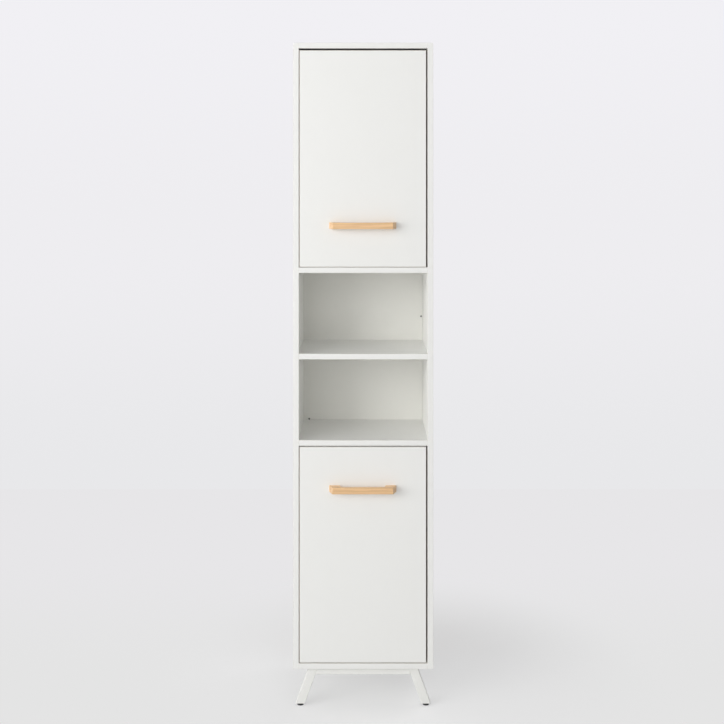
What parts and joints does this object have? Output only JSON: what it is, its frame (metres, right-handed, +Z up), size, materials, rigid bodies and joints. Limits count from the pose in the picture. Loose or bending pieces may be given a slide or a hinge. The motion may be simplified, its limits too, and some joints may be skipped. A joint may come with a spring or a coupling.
{
  "type": "tall bathroom cabinet",
  "caption": "Tall narrow cabinet with two inset doors on concealed hinges, open niches between them, wooden bar handles and a splayed steel leg frame.",
  "frame": {"origin": "on the floor, in the middle of the overall bounding box, handles included", "axes": "+Z up, -Y towards the front of the cabinet, +X towards the right-hand side seen from the front"},
  "size_m": [0.4, 0.33, 1.9],
  "materials": {
    "white_board": "particle board with a matt white melamine face and edge band",
    "white_hardboard": "thin hardboard, lacquered white on its front",
    "beech": "clear satin lacquered beech",
    "dowel_wood": "fluted raw beech",
    "zinc_steel": "bright zinc plate",
    "nickel_steel": "nickel plated pressed steel",
    "cast_zinc": "die cast zinc",
    "powder_coat": "satin white powder coat",
    "black_plastic": "moulded, fine grain",
    "grey_plastic": "moulded, smooth"
  },
  "bodies": {
    "carcass": {"left_side_panel": "white_board", "right_side_panel": "white_board", "bottom_panel": "white_board", "lower_cupboard_roof": "white_board", "niche_divider": "white_board", "upper_cupboard_floor": "white_board", "top_panel": "white_board", "upper_shelf": "white_board", "lower_shelf": "white_board", "back_panel": "white_hardboard", "dowels": "dowel_wood", "cam_bolts": "zinc_steel", "wall_brackets": "zinc_steel", "wall_bracket_screws": "zinc_steel", "shelf_pins": "zinc_steel", "frame_screws": "zinc_steel", "upper_hinge_arm_pins": "zinc_steel", "upper_hinge_arm_screws": "zinc_steel", "upper_hinge_plate_screws": "zinc_steel", "lower_hinge_arm_pins": "zinc_steel", "lower_hinge_arm_screws": "zinc_steel", "lower_hinge_plate_screws": "zinc_steel", "upper_hinge_arms": "nickel_steel", "upper_hinge_plates": "nickel_steel", "lower_hinge_arms": "nickel_steel", "lower_hinge_plates": "nickel_steel", "cam_locks": "cast_zinc", "front_rail": "powder_coat", "rear_rail": "powder_coat", "frame_tabs": "powder_coat", "front_left_leg": "powder_coat", "front_right_leg": "powder_coat", "rear_left_leg": "powder_coat", "rear_right_leg": "powder_coat", "front_left_glide_foot": "black_plastic", "front_right_glide_foot": "black_plastic", "rear_left_glide_foot": "black_plastic", "rear_right_glide_foot": "black_plastic", "front_left_glide_stud": "zinc_steel", "front_right_glide_stud": "zinc_steel", "rear_left_glide_stud": "zinc_steel", "rear_right_glide_stud": "zinc_steel", "leg_plugs": "black_plastic", "back_panel_clips": "grey_plastic"},
    "upper_door_body": {"upper_door": "white_board", "upper_handle": "beech", "upper_handle_screws": "zinc_steel", "upper_hinge_cups": "nickel_steel", "upper_hinge_cup_screws": "zinc_steel"},
    "lower_door_body": {"lower_door": "white_board", "lower_handle": "beech", "lower_handle_screws": "zinc_steel", "lower_hinge_cups": "nickel_steel", "lower_hinge_cup_screws": "zinc_steel"},
    "upper_link_body": {"upper_hinge_links": "nickel_steel", "upper_hinge_cup_pins": "zinc_steel"},
    "lower_link_body": {"lower_hinge_links": "nickel_steel", "lower_hinge_cup_pins": "zinc_steel"}
  },
  "joints": [
    {"name": "upper_door_swing", "type": "hinge", "parent": "carcass", "child": "upper_door_body", "pos_m": [-0.1722, -0.1296, 1.5688], "axis": [0, 0, -1], "range_deg": [0, 105]},
    {"name": "upper_link_turn", "type": "hinge", "parent": "carcass", "child": "upper_link_body", "pos_m": [-0.1562, -0.1172, 1.5688], "axis": [0, 0, 1], "range_deg": [0, 45]},
    {"name": "lower_door_swing", "type": "hinge", "parent": "carcass", "child": "lower_door_body", "pos_m": [-0.1722, -0.1296, 0.4366], "axis": [0, 0, -1], "range_deg": [0, 105]},
    {"name": "lower_link_turn", "type": "hinge", "parent": "carcass", "child": "lower_link_body", "pos_m": [-0.1562, -0.1172, 0.4366], "axis": [0, 0, 1], "range_deg": [0, 45]}
  ],
  "couplings": [
    {"joint": "upper_link_turn", "follows": "upper_door_swing", "ratio": 0.42732},
    {"joint": "lower_link_turn", "follows": "lower_door_swing", "ratio": 0.42732}
  ]
}
